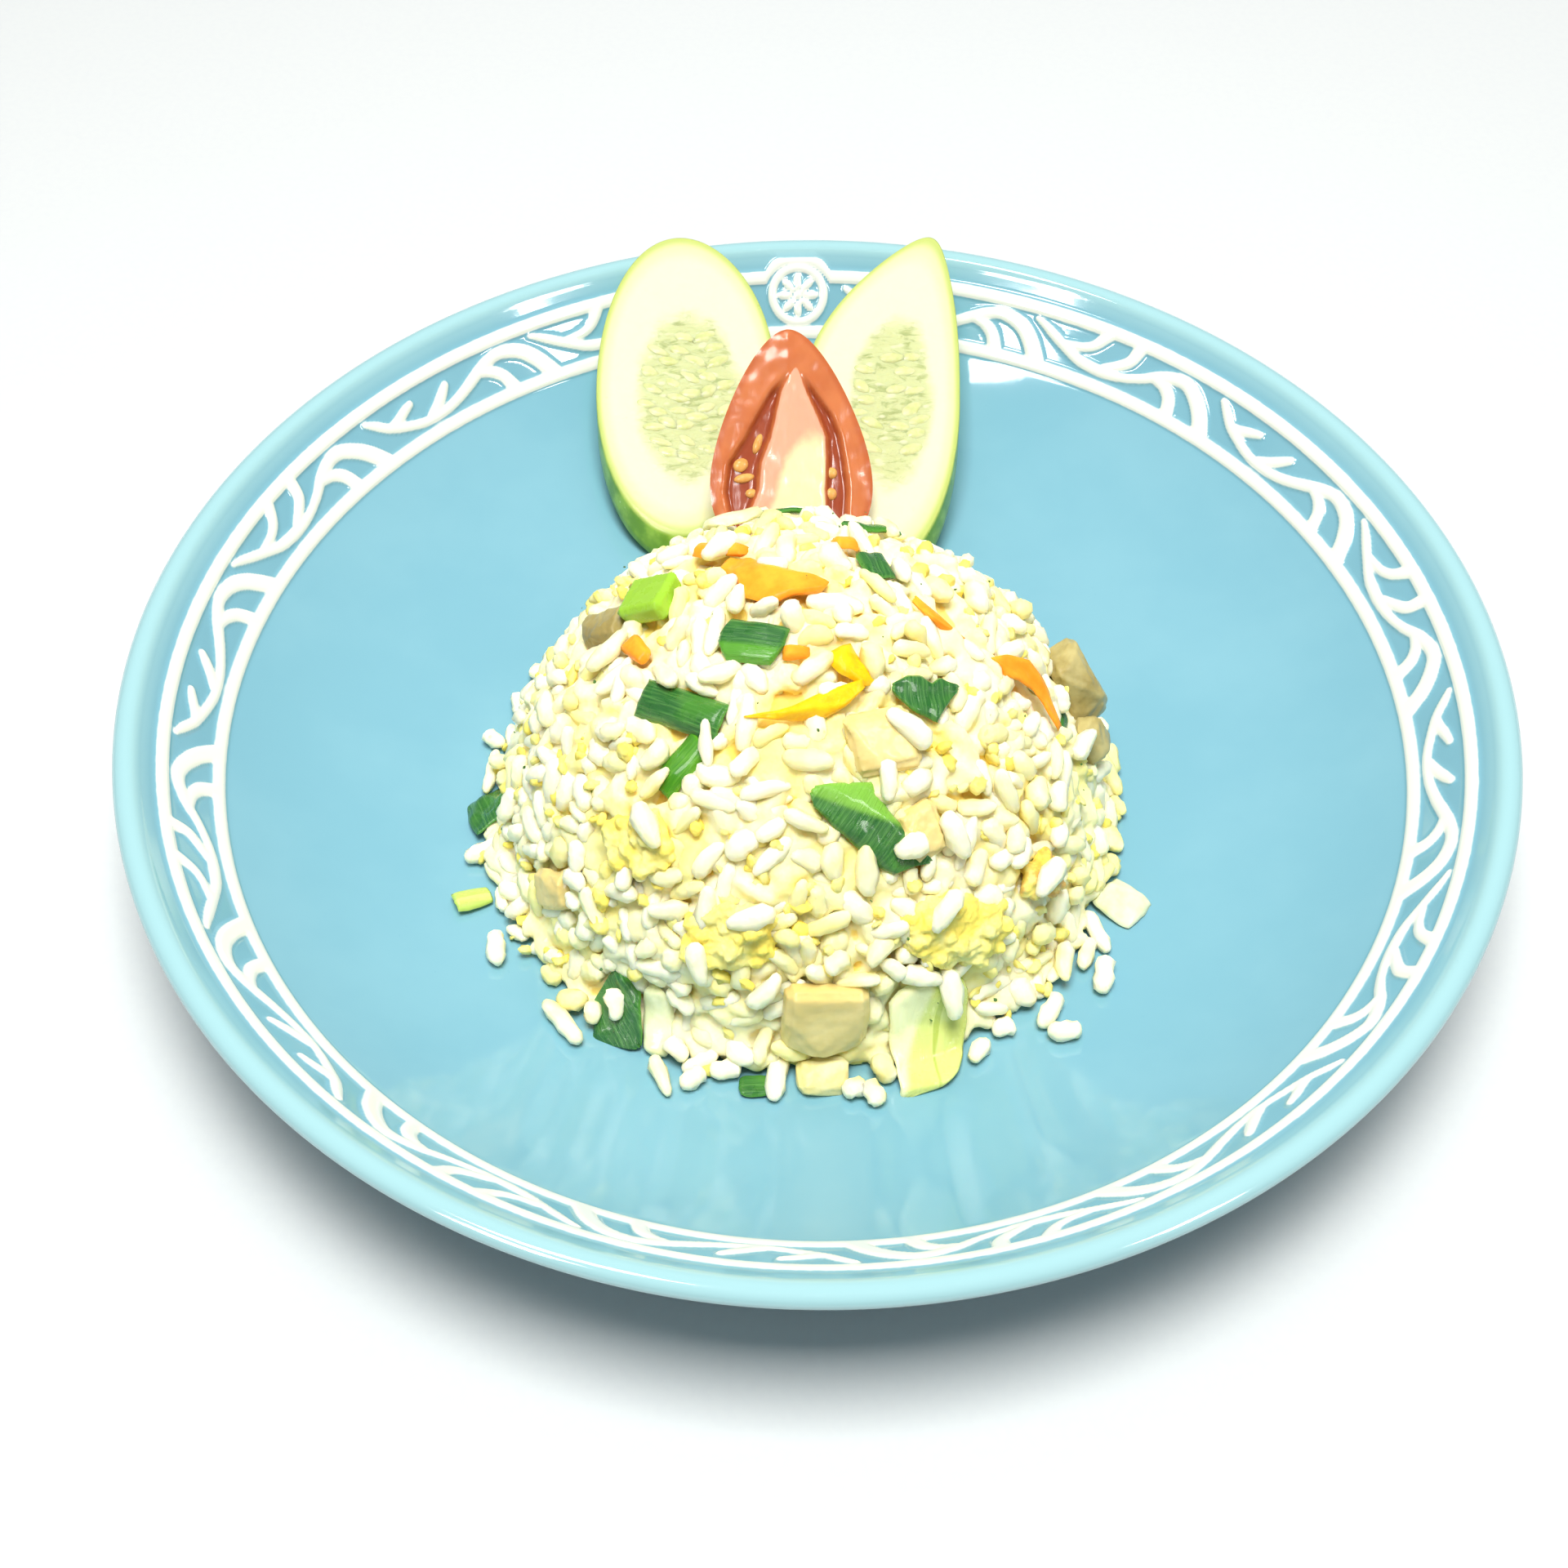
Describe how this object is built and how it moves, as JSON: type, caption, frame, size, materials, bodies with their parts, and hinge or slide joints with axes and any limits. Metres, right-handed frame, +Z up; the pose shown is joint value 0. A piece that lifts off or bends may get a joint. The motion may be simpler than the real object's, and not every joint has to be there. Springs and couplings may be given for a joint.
{
  "type": "fried rice",
  "caption": "Dome of fried rice with egg, scallion, carrot and mushroom on a round glazed plate, with cucumber slices and a tomato wedge behind it.",
  "frame": {"origin": "middle of the plate's foot, on the surface it stands on", "axes": "+Z up along the plate's turning axis, -Y towards the eater, +Y towards the garnish behind the rice"},
  "size_m": [0.2296, 0.2296, 0.0645],
  "materials": {
    "glaze": "glossy turquoise glaze, white on the raised lines",
    "rice": "moist cooked rice, satin",
    "cucumber": "wet cut cucumber, pale with a green rind",
    "tomato": "wet cut tomato",
    "scallion": "dark green scallion leaf",
    "scallion_pale": "light green scallion",
    "petal": "pale green layered onion or leek petal",
    "onion": "translucent cooked onion",
    "carrot": "cooked carrot shavings",
    "yolk": "yellow strips",
    "egg": "scrambled egg curd",
    "egg_brown": "browned egg curd",
    "mushroom": "brown cooked mushroom",
    "meat": "tan cooked pieces",
    "meat_pale": "pale cooked piece"
  },
  "bodies": {
    "root": {"plate": "glaze", "rice_heap": "rice", "cucumber_left": "cucumber", "cucumber_right": "cucumber", "tomato_wedge": "tomato", "scallion_roll": "scallion", "scallion_bent": "scallion", "scallion_tail": "scallion", "scallion_fold": "scallion", "scallion_crest": "scallion", "scallion_broad": "scallion", "scallion_foot_left": "scallion", "scallion_foot_front": "scallion", "scallion_side_left": "scallion", "scallion_side_right": "scallion", "scallion_sliver_left": "scallion", "scallion_sliver_right": "scallion", "scallion_pale": "scallion_pale", "leaf_pale": "scallion_pale", "petal_green": "petal", "onion_top": "onion", "onion_foot_left": "onion", "onion_right": "onion", "carrot_back": "carrot", "carrot_broad": "carrot", "carrot_small": "carrot", "carrot_left": "carrot", "carrot_short": "carrot", "carrot_long": "carrot", "egg_strip_upper": "yolk", "egg_strip_lower": "yolk", "mushroom_left": "mushroom", "mushroom_right": "mushroom", "mushroom_low": "mushroom", "meat_top": "meat", "meat_middle": "meat", "meat_foot": "meat", "meat_front": "meat_pale", "meat_left": "meat", "egg_left": "egg", "egg_front": "egg", "egg_right": "egg", "egg_browned": "egg_brown"}
  },
  "joints": []
}
